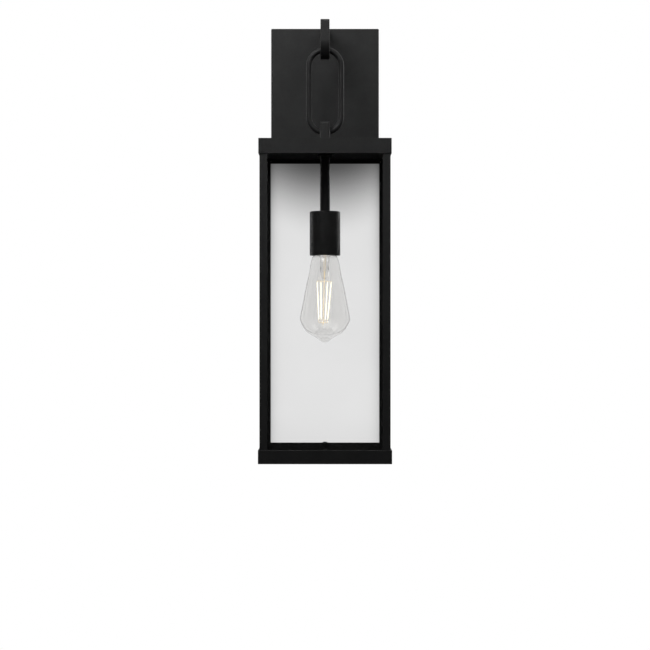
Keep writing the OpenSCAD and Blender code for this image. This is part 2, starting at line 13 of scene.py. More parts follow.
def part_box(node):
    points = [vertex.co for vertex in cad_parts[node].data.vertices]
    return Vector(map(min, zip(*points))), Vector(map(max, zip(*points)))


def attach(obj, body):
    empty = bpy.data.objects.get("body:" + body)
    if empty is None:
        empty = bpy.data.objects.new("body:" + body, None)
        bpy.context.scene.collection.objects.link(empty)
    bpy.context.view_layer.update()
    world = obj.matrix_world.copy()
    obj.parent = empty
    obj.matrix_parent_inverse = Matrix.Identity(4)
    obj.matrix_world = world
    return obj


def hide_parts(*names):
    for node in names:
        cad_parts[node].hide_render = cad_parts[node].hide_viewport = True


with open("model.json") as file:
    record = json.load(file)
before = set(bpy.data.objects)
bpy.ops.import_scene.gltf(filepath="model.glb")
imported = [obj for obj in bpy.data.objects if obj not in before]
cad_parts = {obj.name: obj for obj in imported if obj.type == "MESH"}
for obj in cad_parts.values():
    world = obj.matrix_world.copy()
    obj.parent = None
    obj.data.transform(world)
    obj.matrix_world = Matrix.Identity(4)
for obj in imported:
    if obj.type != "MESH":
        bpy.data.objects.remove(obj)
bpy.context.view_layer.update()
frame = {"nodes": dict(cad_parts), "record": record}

MM = 0.001
TAU = 2 * math.pi

# ---------------------------------------------------------------- places in the frame


def low(node):
    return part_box(node)[0]


def high(node):
    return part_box(node)[1]


def size(node):
    return high(node) - low(node)


def centre(node):
    return (low(node) + high(node)) / 2


AXIS = Vector((0, centre("socket_rod").y, 0))  # the upright axis of the lantern's body
CUP_TOP, CUP_BOTTOM = high("socket_cup").z, low("socket_cup").z
NECK = low("bulb_base_shell").z + 0.6 * MM  # where the bulb's glass leaves its base
TIP = low("bulb_glass").z
SLOT_OF = {part["node"]: part["material_slot"] for part in frame["record"]["subparts"]}
BODY_OF = {node: body
           for body, nodes in frame["record"]["behaviour"]["bodies"].items() for node in nodes}

# ---------------------------------------------------------------- materials


def material(name):
    """A new node material and its Principled shader."""
    mat = bpy.data.materials.new(name)
    mat.use_nodes = True
    return mat, mat.node_tree.nodes["Principled BSDF"]


def bare_material(name):
    """A new node material without a Principled shader."""
    mat, shader = material(name)
    mat.node_tree.nodes.remove(shader)
    return mat


def add(mat, kind, **values):
    """A new node, with its inputs or properties set by name."""
    node = mat.node_tree.nodes.new(kind)
    for key, value in values.items():
        label = key.replace("_", " ")
        if label in node.inputs:
            node.inputs[label].default_value = value
        else:
            setattr(node, key, value)
    return node


def wire(mat, source, target):
    mat.node_tree.links.new(source, target)


def finish_with(mat, share, first, last):
    """Ends a material or world with a mix of two shaders, where share 1 gives only the last."""
    mix = add(mat, "ShaderNodeMixShader")
    for source, socket in zip((share, first, last), mix.inputs):
        wire(mat, source, socket)
    output = mat.node_tree.get_output_node("ALL")
    wire(mat, mix.outputs["Shader"], output.inputs["Surface"])


def calc(mat, operation, *terms):
    """A Math node on numbers and outputs."""
    node = add(mat, "ShaderNodeMath", operation=operation)
    for socket, term in zip(node.inputs, terms):
        if isinstance(term, (int, float)):
            socket.default_value = term
        else:
            wire(mat, term, socket)
    return node.outputs[0]


def product(mat, first, *others):
    """All the terms multiplied together."""
    for other in others:
        first = calc(mat, "MULTIPLY", first, other)
    return first


def outward(mat):
    """1 where a face is seen from its front and 0 from its back."""
    side = add(mat, "ShaderNodeNewGeometry")
    return calc(mat, "SUBTRACT", 1.0, side.outputs["Backfacing"])


NOISE_RANGE = (0.3, 0.7)


def noise(mat, scale, detail=2.0, roughness=0.5):
    """Noise in the object's own space, with scale in cells per metre."""
    place = add(mat, "ShaderNodeTexCoord")
    tex = add(mat, "ShaderNodeTexNoise", Scale=scale, Detail=detail, Roughness=roughness)
    wire(mat, place.outputs["Object"], tex.inputs["Vector"])
    return tex.outputs["Fac"]


def ramp(mat, source, first, last):
    """A change from one colour to another over the range that noise mostly keeps to."""
    node = add(mat, "ShaderNodeValToRGB")
    for stop, place, colour in zip(node.color_ramp.elements, NOISE_RANGE, (first, last)):
        stop.position = place
        stop.color = (*colour, 1)
    wire(mat, source, node.inputs["Fac"])
    return node.outputs["Color"]


def span(mat, source, start, end, to_start, to_end, smooth=False):
    """source, mapped from start..end to to_start..to_end."""
    node = add(mat, "ShaderNodeMapRange",
               From_Min=start, From_Max=end, To_Min=to_start, To_Max=to_end)
    if smooth:
        node.interpolation_type = "SMOOTHSTEP"
    wire(mat, source, node.inputs["Value"])
    return node.outputs["Result"]


def bump(mat, shader, layers):
    """Bump from layers of (height source, depth in metres, strength)."""
    last = None
    for source, depth, strength in layers:
        node = add(mat, "ShaderNodeBump", Strength=strength, Distance=depth)
        wire(mat, source, node.inputs["Height"])
        if last is not None:
            wire(mat, last, node.inputs["Normal"])
        last = node.outputs["Normal"]
    wire(mat, last, shader.inputs["Normal"])


def grey(value, warm=0.0):
    """A grey, made warmer by taking a share of its blue away, and a third of that of its green."""
    return (value, value * (1 - warm / 3), value * (1 - warm))


def powder_coat(name, tone=0.017, rough=(0.42, 0.56)):
    """Matte black powder coat: a fine orange-peel skin and a slight mottle."""
    mat, shader = material(name)
    mottle = noise(mat, 60, 4.0, 0.6)
    wire(mat, ramp(mat, mottle, grey(tone * 0.8, -0.04), grey(tone * 1.22, -0.02)),
         shader.inputs["Base Color"])
    wire(mat, span(mat, noise(mat, 320, 3.0), *NOISE_RANGE, *rough), shader.inputs["Roughness"])
    shader.inputs["Specular IOR Level"].default_value = 0.42
    orange_peel, grain = noise(mat, 700, 1.5), noise(mat, 3200, 1.0)
    bump(mat, shader, [(orange_peel, 0.05 * MM, 0.35), (grain, 0.02 * MM, 0.3)])
    return mat


def metal(name, first, last, rough, scale=700.0, depth=0.02 * MM, metallic=1.0):
    """Plated or plain metal, with fine grain in its colour, gloss and skin."""
    mat, shader = material(name)
    grain = noise(mat, scale, 3.0, 0.6)
    wire(mat, ramp(mat, noise(mat, scale / 8, 3.0), first, last), shader.inputs["Base Color"])
    wire(mat, span(mat, grain, *NOISE_RANGE, *rough), shader.inputs["Roughness"])
    shader.inputs["Metallic"].default_value = metallic
    bump(mat, shader, [(grain, depth, 0.3)])
    return mat


def moulded(name, first, last, rough, scale=900.0, depth=0.02 * MM, coat=0.0, sheen=0.0):
    """Plastic, rubber, foam or glazed porcelain, by its colours, gloss and skin."""
    mat, shader = material(name)
    wire(mat, ramp(mat, noise(mat, scale / 12, 3.0), first, last), shader.inputs["Base Color"])
    wire(mat, span(mat, noise(mat, scale / 3), *NOISE_RANGE, *rough), shader.inputs["Roughness"])
    shader.inputs["Coat Weight"].default_value = coat
    shader.inputs["Sheen Weight"].default_value = sheen
    bump(mat, shader, [(noise(mat, scale), depth, 0.4)])
    return mat


def blown_glass(name, first, last):
    """Clear blown glass with a faint waviness, which casts no dark shadow."""
    mat, shader = material(name)
    wire(mat, ramp(mat, noise(mat, 30), first, last), shader.inputs["Base Color"])
    shader.inputs["Roughness"].default_value = 0.0
    shader.inputs["IOR"].default_value = 1.46
    shader.inputs["Transmission Weight"].default_value = 1.0
    bump(mat, shader, [(noise(mat, 55, 1.0), 0.03 * MM, 0.3)])
    shadow_ray = add(mat, "ShaderNodeLightPath").outputs["Is Shadow Ray"]
    open_way = add(mat, "ShaderNodeBsdfTransparent", Color=(*first, 1))
    finish_with(mat, shadow_ray, shader.outputs["BSDF"], open_way.outputs["BSDF"])
    return mat


def sheet_glass(name, first, last):
    """Flat clear glass: it shows what is behind it unbent, and mirrors more at a slant."""
    square_on = 0.03  # the share of light that is mirrored where the glass is seen square on
    mat = bare_material(name)
    through = add(mat, "ShaderNodeBsdfTransparent")
    wire(mat, ramp(mat, noise(mat, 12), first, last), through.inputs["Color"])
    mirror = add(mat, "ShaderNodeBsdfGlossy", Roughness=0.0)
    bump(mat, mirror, [(noise(mat, 9, 1.0), 0.05 * MM, 0.2)])
    slant = add(mat, "ShaderNodeLayerWeight", Blend=0.5)
    share = span(mat, calc(mat, "POWER", slant.outputs["Facing"], 5.0), 0, 1, square_on, 1.0)
    share = product(mat, share, outward(mat))
    finish_with(mat, share, through.outputs["BSDF"], mirror.outputs["BSDF"])
    return mat


def glowing(name, first, last, strength):
    """The phosphor coat of a filament: pale yellow, lumpy and lit from inside."""
    mat, shader = material(name)
    lumps = noise(mat, 1500)
    wire(mat, ramp(mat, lumps, first, last), shader.inputs["Base Color"])
    wire(mat, ramp(mat, lumps, first, last), shader.inputs["Emission Color"])
    shader.inputs["Emission Strength"].default_value = strength
    shader.inputs["Roughness"].default_value = 0.6
    bump(mat, shader, [(lumps, 0.05 * MM, 0.4)])
    return mat


def wire_with_painted_glow(name, first, last, strength):
    """Golden wire with a painted glow, which stands in for the light of the filaments beside it."""
    mat = metal(name, first, last, (0.25, 0.4), metallic=0.6)
    shader = mat.node_tree.nodes["Principled BSDF"]
    wire(mat, ramp(mat, noise(mat, 90), first, last), shader.inputs["Emission Color"])
    # painted glow: the wire gives off light though it is no lamp
    shader.inputs["Emission Strength"].default_value = strength
    return mat


MATERIALS = {
    "black_frame": powder_coat("powder_coat_frame"),
    "black_plate": powder_coat("powder_coat_plate", 0.0152),
    "black_hook": powder_coat("powder_coat_hook", 0.018, (0.4, 0.52)),
    "black_rod": powder_coat("powder_coat_rod", 0.018, (0.36, 0.46)),
    "black_screw": metal("black_oxide", grey(0.02), grey(0.036), (0.32, 0.5), metallic=0.6),
    "zinc": metal("zinc_plate", grey(0.52, 0.03), (0.68, 0.69, 0.7), (0.28, 0.42), 1400,
                  0.006 * MM),
    "pane_glass": sheet_glass("pane_glass", grey(0.965), grey(0.975)),
    "bulb_clear": blown_glass("bulb_glass", grey(0.91, 0.012), grey(0.925, 0.008)),
    "gasket_foam": moulded("foam", grey(0.02), grey(0.05), (0.8, 0.95), 1600, 0.2 * MM, sheen=0.2),
    "grommet_rubber": moulded("rubber", grey(0.015), grey(0.03), (0.5, 0.65)),
    "porcelain": moulded("porcelain", grey(0.78, 0.1), grey(0.86, 0.08), (0.12, 0.22), 300,
                         0.03 * MM, coat=0.6),
    "shell_brass": metal("rolled_brass", (0.55, 0.37, 0.14), (0.75, 0.54, 0.25), (0.22, 0.38)),
    "base_nickel": metal("nickel_plate", grey(0.6, 0.06), grey(0.76, 0.04), (0.18, 0.32)),
    "base_insulator": moulded("black_glass", grey(0.008), grey(0.02), (0.1, 0.2), coat=0.5),
    "solder": metal("solder", grey(0.45), grey(0.62), (0.35, 0.55), depth=0.1 * MM),
    "lead_black": moulded("lead_black", grey(0.012), grey(0.03), (0.35, 0.5)),
    "lead_white": moulded("lead_white", grey(0.7, 0.03), grey(0.82, 0.03), (0.35, 0.5)),
    "ground_green": moulded("lead_green", (0.02, 0.17, 0.05), (0.05, 0.28, 0.09), (0.35, 0.5)),
    "ground_screw": metal("green_screw", (0.03, 0.24, 0.09), (0.07, 0.36, 0.14), (0.3, 0.45)),
    "connector": moulded("connector", (0.72, 0.25, 0.03), (0.82, 0.34, 0.07), (0.3, 0.42),
                         coat=0.2),
    # the support wires carry a painted glow for the filaments' light
    "wire_gold": wire_with_painted_glow("support_wire", (0.86, 0.7, 0.45), (0.96, 0.82, 0.58), 0.35),
    "filament": glowing("phosphor", (1.0, 0.93, 0.68), (1.0, 0.97, 0.79), 1.12),
}

# painted shade: the link has the same powder coat as the arm and the lug, made a little darker than
# theirs
LINK_COAT_PAINTED_SHADE = powder_coat("powder_coat_link_painted_shade", 0.0145, (0.46, 0.6))

# ---------------------------------------------------------------- mesh helpers


def as_object(name, made, sharp=35.0):
    """A new smooth-shaded object from a bmesh, with edges over `sharp` degrees left crisp."""
    mesh = bpy.data.meshes.new(name)
    bmesh.ops.recalc_face_normals(made, faces=made.faces)
    made.to_mesh(mesh)
    made.free()
    obj = bpy.data.objects.new(name, mesh)
    bpy.context.scene.collection.objects.link(obj)
    mesh.shade_smooth()
    mesh.set_sharp_from_angle(angle=math.radians(sharp))
    return obj


def stand_for(obj, node):
    """The piece stands for a CAD node, on its body and with its material."""
    obj.data.materials.clear()
    obj.data.materials.append(MATERIALS[SLOT_OF[node]])
    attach(obj, BODY_OF[node])
    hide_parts(node)
    return obj


def cad_mesh(node):
    """A CAD node's mesh as a bmesh, with its split corners joined."""
    made = bmesh.new()
    made.from_mesh(frame["nodes"][node].data)
    bmesh.ops.remove_doubles(made, verts=made.verts, dist=0.002 * MM)
    return made


def islands(node):
    """The lowest and highest corner of each separate solid in a CAD node, in order."""
    made = cad_mesh(node)
    left, boxes = set(made.verts), []
    while left:
        todo = [left.pop()]
        seen = list(todo)
        while todo:
            for edge in todo.pop().link_edges:
                for vert in edge.verts:
                    if vert in left:
                        left.remove(vert)
                        todo.append(vert)
                        seen.append(vert)
        boxes.append(tuple(Vector([pick(v.co[k] for v in seen) for k in range(3)])
                           for pick in (min, max)))
    made.free()
    return sorted(boxes, key=lambda b: tuple(round(c, 4) for c in b[0]))


def soften(made, edges, width, segments):
    """Rounds the given edges."""
    bmesh.ops.bevel(made, geom=edges, offset=width, offset_type="OFFSET", segments=segments,
                    profile=0.5, affect="EDGES", clamp_overlap=True)


def sharp_edges(made):
    """The edges between faces that meet at over 30 degrees."""
    limit = math.radians(30.0)
    return [e for e in made.edges if len(e.link_faces) == 2 and e.calc_face_angle(0) > limit]


def in_fixed_order(made):
    """The same bmesh, with its corners and faces in an order that its shape alone decides."""
    corners = sorted(made.verts, key=lambda v: tuple(v.co))
    place = {vert: i for i, vert in enumerate(corners)}
    outlines = []
    for face in made.faces:
        ring = [place[v] for v in face.verts]
        start = ring.index(min(ring))
        outlines.append(ring[start:] + ring[:start])
    ordered = bmesh.new()
    verts = [ordered.verts.new(v.co) for v in corners]
    for ring in sorted(outlines):
        ordered.faces.new([verts[i] for i in ring])
    made.free()
    ordered.normal_update()
    return ordered


def soft_copy(node, width, wide=None, picks=None, segments=3):
    """The CAD node with its edges rounded by width, and those that picks() accepts by wide."""
    made = cad_mesh(node)
    bmesh.ops.dissolve_limit(made, angle_limit=math.radians(0.4),
                             verts=made.verts, edges=made.edges)
    if wide:
        soften(made, [e for e in sharp_edges(made) if picks(e)], wide, segments + 1)
        made = in_fixed_order(made)
    soften(made, sharp_edges(made), width, segments)
    obj = as_object(node + "_soft", made, 50.0)
    obj.modifiers.new("even", "WEIGHTED_NORMAL").keep_sharp = True
    return stand_for(obj, node)


def lying_at(axis, place):
    """Accepts edges that lie in the plane across an axis (0, 1 or 2 for X, Y or Z) at a place."""
    return lambda edge: all(abs(v.co[axis] - place) < 0.05 * MM for v in edge.verts)


def lathe(outline, steps=48, closed=False, twist=None):
    """A bmesh turned about the Z axis from (radius, height) points, which `closed` joins up
    into a ring. twist(radius, height, angle), if given, returns the radius to use there."""
    made = bmesh.new()
    rings = []
    for radius, height in outline:
        if radius < 1e-7:
            rings.append([made.verts.new((0, 0, height))])
            continue
        ring = []
        for k in range(steps):
            angle = TAU * k / steps
            r = twist(radius, height, angle) if twist else radius
            ring.append(made.verts.new((r * math.cos(angle), r * math.sin(angle), height)))
        rings.append(ring)
    pairs = list(zip(rings, rings[1:])) + ([(rings[-1], rings[0])] if closed else [])
    for a, b in pairs:
        for k in range(steps):
            corners = [a[k % len(a)], a[(k + 1) % steps % len(a)],
                       b[(k + 1) % steps % len(b)], b[k % len(b)]]
            corners = list(dict.fromkeys(corners))
            if len(corners) > 2:
                made.faces.new(corners)
    return made


def arc(cx, cz, r, start, end, steps=6):
    """Points round a circle, from start to end degrees; 0 is outward and 90 is up."""
    turns = [math.radians(start + (end - start) * k / steps) for k in range(steps + 1)]
    return [(cx + r * math.cos(t), cz + r * math.sin(t)) for t in turns]


def rows(r, start, end, pitch, per_turn=4):
    """Points up a straight stretch, close enough for a thread of that pitch."""
    count = max(int(abs(end - start) / pitch * per_turn), 1)
    return [(r, start + (end - start) * k / count) for k in range(count + 1)]


def thread(pitch, depth, *radii):
    """A twist() for lathe: a rounded helical thread, cut where the outline has these radii."""
    def radius(r, height, angle):
        if min(abs(r - full) for full in radii) > 1e-7:
            return r
        return r - depth * (0.5 + 0.5 * math.cos(TAU * height / pitch - angle))
    return radius


def spline(keys, steps):
    """A smooth curve through the key points, with `steps` pieces between each two."""
    last = len(keys) - 1
    out = []
    for i in range(last):
        a, b, c, d = keys[max(i - 1, 0)], keys[i], keys[i + 1], keys[min(i + 2, last)]
        for k in range(steps):
            t = k / steps
            out.append(tuple(
                0.5 * (2 * q + (r - p) * t + (2 * p - 5 * q + 4 * r - s) * t * t
                       + (3 * q - p - 3 * r + s) * t ** 3)
                for p, q, r, s in zip(a, b, c, d)))
    out.append(tuple(keys[last]))
    return out


def tube(made, path, radius, sides=12, closed=False):
    """A round tube along points. radius is a number, or one for each point."""
    count, rings, normal = len(path), [], None
    for i, point in enumerate(path):
        if closed:
            ahead = (path[(i + 1) % count] - path[i - 1]).normalized()
        else:
            ahead = (path[min(i + 1, count - 1)] - path[max(i - 1, 0)]).normalized()
        normal = ahead.orthogonal() if normal is None else normal
        normal = (normal - ahead * normal.dot(ahead)).normalized()
        across = ahead.cross(normal)
        r = radius[i] if isinstance(radius, list) else radius
        rings.append([made.verts.new(point + (normal * math.cos(TAU * k / sides)
                                              + across * math.sin(TAU * k / sides)) * r)
                      for k in range(sides)])
    for a, b in list(zip(rings, rings[1:])) + ([(rings[-1], rings[0])] if closed else []):
        for k in range(sides):
            m = (k + 1) % sides
            made.faces.new((a[k], a[m], b[m], b[k]))
    if not closed:
        made.faces.new(list(reversed(rings[0])))
        made.faces.new(rings[-1])


def block(made, at, half, taper=1.0):
    """A box about `at`, whose lower face is `taper` times its upper one."""
    around = ((-1, -1), (1, -1), (1, 1), (-1, 1))
    corners = {}
    for z, share in ((-1, taper), (1, 1.0)):
        for x, y in around:
            corners[x, y, z] = made.verts.new(
                (at[0] + x * half[0] * share, at[1] + y * half[1] * share, at[2] + z * half[2]))
    for z in (-1, 1):
        made.faces.new([corners[x, y, z] for x, y in around])
    for (x, y), (u, v) in zip(around, around[1:] + around[:1]):
        made.faces.new([corners[x, y, -1], corners[u, v, -1], corners[u, v, 1], corners[x, y, 1]])


def carve(made, cutter, operation="DIFFERENCE"):
    """One bmesh cut with another, as a new bmesh. Both are used up."""
    work, tool = as_object("work", made), as_object("tool", cutter)
    cutting = work.modifiers.new("cut", "BOOLEAN")
    cutting.object, cutting.operation, cutting.solver = tool, operation, "EXACT"
    graph = bpy.context.evaluated_depsgraph_get()
    result = bmesh.new()
    result.from_mesh(work.evaluated_get(graph).to_mesh())
    for obj in (work, tool):
        mesh = obj.data
        bpy.data.objects.remove(obj)
        bpy.data.meshes.remove(mesh)
    return result


def joined(parts):
    """One bmesh from several, which are used up."""
    whole, spare = bmesh.new(), bpy.data.meshes.new("spare")
    for part in parts:
        part.to_mesh(spare)
        part.free()
        whole.from_mesh(spare)
    bpy.data.meshes.remove(spare)
    return whole


def scatter(node, proto, spots, sharp=35.0):
    """A piece for a CAD node from copies of one bmesh, one at each matrix."""
    parts = []
    for spot in spots:
        part = proto.copy()
        bmesh.ops.transform(part, matrix=spot, verts=part.verts)
        parts.append(part)
    proto.free()
    return stand_for(as_object(node + "_fine", joined(parts), sharp), node)


def upright(node, made, sharp=35.0):
    """A piece for a CAD node, turned about the lantern's axis."""
    return scatter(node, made, [Matrix.Translation(AXIS)], sharp)


# ---------------------------------------------------------------- screws and nuts


def recess(kind, head_r, top, depth):
    """A cutter for a screw's cross, slot or hexagon socket, down from height `top`."""
    if kind == "socket":
        r = head_r * 0.56
        return lathe([(0, top - depth), (r, top - depth), (r, top + depth), (0, top + depth)], 6)
    at = (0, 0, top - depth / 2 + depth * 0.05)
    half, thick = depth * 0.55, head_r * 0.13
    made = bmesh.new()
    if kind == "slot":
        block(made, at, (head_r * 1.2, thick, half))
        return made
    arm, taper = head_r * 0.6, 0.55
    block(made, at, (arm, thick, half), taper)
    other = bmesh.new()
    block(other, at, (thick, arm, half), taper)
    return carve(made, other, "UNION")


def screw(length, shaft_r, head_r, head_h, drive):
    """A screw along Z: its head stands on z = 0 and its threaded shaft hangs below."""
    pitch = 0.4 * shaft_r
    shaft = [(0, -length), (shaft_r * 0.72, -length), (shaft_r, -length + shaft_r * 0.35)]
    shaft += rows(shaft_r, -length + shaft_r * 0.36, 0, pitch)
    edge, dome = head_h * 0.14, 0.58  # the share of the head's height that is domed
    head = [(head_r - edge, 0), (head_r, edge), (head_r, head_h * (1 - dome))]
    head += [(head_r * math.cos(t), head_h * (1 - dome + dome * math.sin(t)))
             for t in (math.radians(a) for a in (20, 38, 54, 68, 80))] + [(0, head_h)]
    made = lathe(shaft + head, 24, twist=thread(pitch, shaft_r * 0.14, shaft_r))
    return carve(made, recess(drive, head_r, head_h, head_h * 0.6))


def facing(way):
    """The turn that brings +Z to this direction."""
    return Vector((0, 0, 1)).rotation_difference(Vector(way)).to_matrix().to_4x4()


def reach(box, way, across=False):
    """A box's extent along a direction, or its least extent across it."""
    extent = box[1] - box[0]
    return min(abs(c) for c, w in zip(extent, way) if (abs(w) < 0.5) == across)


def screws(node, heads, head_h, shaft_r, drive="cross"):
    """Fine screws for a node's plain ones. heads(middle) is the way a screw's head faces."""
    spots = []
    for box in islands(node):
        middle = (box[0] + box[1]) / 2
        way = Vector(heads(middle))
        along, head_r = reach(box, way), reach(box, way, True) / 2
        spots.append(Matrix.Translation(middle + way * (along / 2 - head_h)) @ facing(way))
    scatter(node, screw(along - head_h, shaft_r, head_r, head_h, drive), spots, 30.0)


def nut(flats, h, bore):
    """A hexagon nut that stands on z = 0, chamfered at both ends."""
    corner, face = flats / 2 / math.cos(math.radians(30)), flats * 0.475
    prism = lathe([(0, 0), (corner, 0), (corner, h), (0, h)], 6)
    drop, past = (corner - face) * 0.6, corner + 0.05 * MM
    barrel = lathe([(0, 0), (face, 0), (past, drop), (past, h - drop), (face, h), (0, h)], 48)
    hexagon = carve(prism, barrel, "INTERSECT")
    hole = lathe([(0, -MM), (bore + MM, -MM), (bore, 0.3 * MM), (bore, h - 0.3 * MM),
                  (bore + MM, h + MM), (0, h + MM)], 32)
    return carve(hexagon, hole)


def standing(node, axis):
    """For a node of like pieces: their height along an axis, their least width across it, and
    for each the matrix that stands it there."""
    axis = Vector(axis)
    boxes = islands(node)
    h = reach(boxes[0], axis)
    spots = [Matrix.Translation((a + b) / 2 - axis * h / 2) @ facing(axis) for a, b in boxes]
    return h, reach(boxes[0], axis, True), spots


def nuts(node, axis, bore):
    """Fine nuts for a node's plain ones, with their corners along X."""
    h, flats, spots = standing(node, axis)
    scatter(node, nut(flats, h, bore), spots, 25.0)


def ring_piece(node, axis, bore, edge):
    """Fine rings for a node's plain ones, with rounded edges."""
    h, width, spots = standing(node, axis)
    outer, inner = width / 2 - edge, bore + edge
    outline = (arc(outer, edge, edge, -90, 0) + arc(outer, h - edge, edge, 0, 90)
               + arc(inner, h - edge, edge, 90, 180) + arc(inner, edge, edge, 180, 270))
    scatter(node, lathe(outline, 64, closed=True), spots, 50.0)


# ---------------------------------------------------------------- sheet metal and panes


def make_sheet_metal():
    """Soft-edged copies of the sheet metal, the bars, the panes and some small plain pieces."""
    soft_copy("cap", 0.35 * MM, 1.2 * MM, lying_at(2, high("cap").z))
    soft_copy("backplate", 0.35 * MM, 1.0 * MM, lying_at(1, low("backplate").y))
    soft_copy("bottom_rim", 0.45 * MM, 1.2 * MM, lying_at(2, high("bottom_rim").z))
    for node, width in (("post_front_left", 0.4), ("post_front_right", 0.4),
                        ("post_rear_left", 0.4), ("post_rear_right", 0.4), ("ceiling_plate", 0.3),
                        ("hook_arm", 0.8), ("top_lug", 0.6), ("mounting_bracket", 0.3),
                        ("socket_holder", 0.25), ("glass_clips", 0.25), ("wall_gasket", 0.4),
                        ("socket_center_contact", 0.15), ("ground_terminal", 0.12),
                        ("socket_body", 0.7)):
        soft_copy(node, width * MM)
    for node in ("glass_front", "glass_rear", "glass_left", "glass_right"):
        soft_copy(node, 0.4 * MM, segments=2)


# ---------------------------------------------------------------- link and fixings


def make_link():
    """The oval link, bent from one round bar."""
    node = "suspension_link"
    r = size(node).y / 2
    bend = size(node).x / 2 - r
    path = []
    for start, z in ((0, high(node).z - r - bend), (180, low(node).z + r + bend)):
        path += [Vector((x, AXIS.y, z + up)) for x, up in arc(0, 0, bend, start, start + 180, 40)]
    made = bmesh.new()
    tube(made, path, r, 32, closed=True)
    link = stand_for(as_object("link_bar", made), node)
    # the darker coat paints shade onto the link
    link.data.materials[0] = LINK_COAT_PAINTED_SHADE


def make_fixings():
    """Every screw, nut, washer, spacer and ring. The first four say which way a head faces."""
    def up(_):
        return (0, 0, 1)

    def down(_):
        return (0, 0, -1)

    def to_wall(_):
        return (0, 1, 0)

    def sideways(middle):
        return (math.copysign(1, middle.x), 0, 0)

    screws("cap_fixing_screws", to_wall, 2.6 * MM, 2.5 * MM)
    screws("top_frame_screws", down, 1.8 * MM, 1.6 * MM)
    screws("bottom_frame_screws", up, 1.8 * MM, 1.6 * MM)
    screws("socket_holder_screws", up, 1.6 * MM, 1.4 * MM)
    screws("socket_terminal_screws", sideways, 2.2 * MM, 1.5 * MM, "slot")
    nuts("hook_nut", (0, 1, 0), 3.0 * MM)
    nuts("cap_fixing_nuts", (0, -1, 0), 2.5 * MM)
    nuts("lug_nuts", (0, 0, 1), 2.5 * MM)
    nuts("rod_nut", (0, 0, 1), 4.9 * MM)
    nuts("socket_nut", (0, 0, 1), 4.9 * MM)
    ring_piece("hook_washer", (0, 1, 0), 3.15 * MM, 0.25 * MM)
    ring_piece("cap_standoffs", (0, 0, 1), 1.6 * MM, 0.35 * MM)
    ring_piece("rod_collar", (0, 0, 1), 4.95 * MM, 0.9 * MM)
    make_set_screws()
    make_ground_screw()
    make_grommet()


def make_set_screws():
    """Headless screws with a hexagon socket, one in each side wall of the plate."""
    r, length, edge, pitch = 2.0 * MM, 10.0 * MM, 0.4 * MM, 0.7 * MM
    outline = [(0, -length), (r * 0.5, -length), (r, -length + r * 0.5)]
    outline += rows(r, -length + r * 0.52, -edge, pitch) + [(r - edge, 0), (0, 0)]
    body = lathe(outline, 24, twist=thread(pitch, 0.25 * MM, r))
    made = carve(body, recess("socket", r, 0, 2.0 * MM))
    spots = []
    for a, b in islands("bracket_set_screws"):
        side = math.copysign(1, a.x + b.x)
        end = Vector((max(abs(a.x), abs(b.x)) * side, (a.y + b.y) / 2, (a.z + b.z) / 2))
        spots.append(Matrix.Translation(end) @ facing((side, 0, 0)))
    scatter("bracket_set_screws", made, spots, 30.0)


def make_ground_screw():
    """Green hexagon screw with a slot and a washer face."""
    node, r, shaft_r, pitch = "ground_screw", 4.6 * MM, 1.95 * MM, 0.8 * MM
    tall, sunk = 3.6 * MM, 0.3 * MM  # the head's height, and where its hexagon starts
    length = size(node).y - tall
    shaft = [(0, -length), (1.4 * MM, -length), (shaft_r, -length + 0.5 * MM)]
    shaft += rows(shaft_r, -length + 0.52 * MM, 0, pitch)
    flange = [(r - 0.1 * MM, 0), (r, 0.1 * MM), (r, 0.45 * MM), (r - 0.3 * MM, 0.6 * MM),
              (0, 0.6 * MM)]
    base = lathe(shaft + flange, 48, twist=thread(pitch, 0.28 * MM, shaft_r))
    head = nut(2 * r * math.cos(math.radians(30)), tall - sunk, 0)
    bmesh.ops.transform(head, matrix=Matrix.Translation((0, 0, sunk)), verts=head.verts)
    made = carve(carve(base, head, "UNION"), recess("slot", r, tall, 1.3 * MM))
    at = Vector((centre(node).x, low(node).y + tall, centre(node).z))
    scatter(node, made, [Matrix.Translation(at) @ facing((0, -1, 0))], 28.0)


def make_grommet():
    """Rubber ring with a rounded lip on each side of the two sheets it joins."""
    node = "wire_grommet"
    half, lip, groove, bore = size(node).y / 2, size(node).x / 2, 4.5 * MM, 2.9 * MM
    t = 0.45 * MM
    outline = (arc(lip - t, half - t, t, 90, 0) + [(lip, half - 0.9 * MM), (groove, half - MM)]
               + [(groove, MM - half), (lip, 0.9 * MM - half)] + arc(lip - t, t - half, t, 0, -90)
               + arc(bore + t, t - half, t, 270, 180) + arc(bore + t, half - t, t, 180, 90))
    scatter(node, lathe(outline, 48, closed=True),
            [Matrix.Translation(centre(node)) @ facing((0, 1, 0))], 50.0)


# ---------------------------------------------------------------- lamp holder


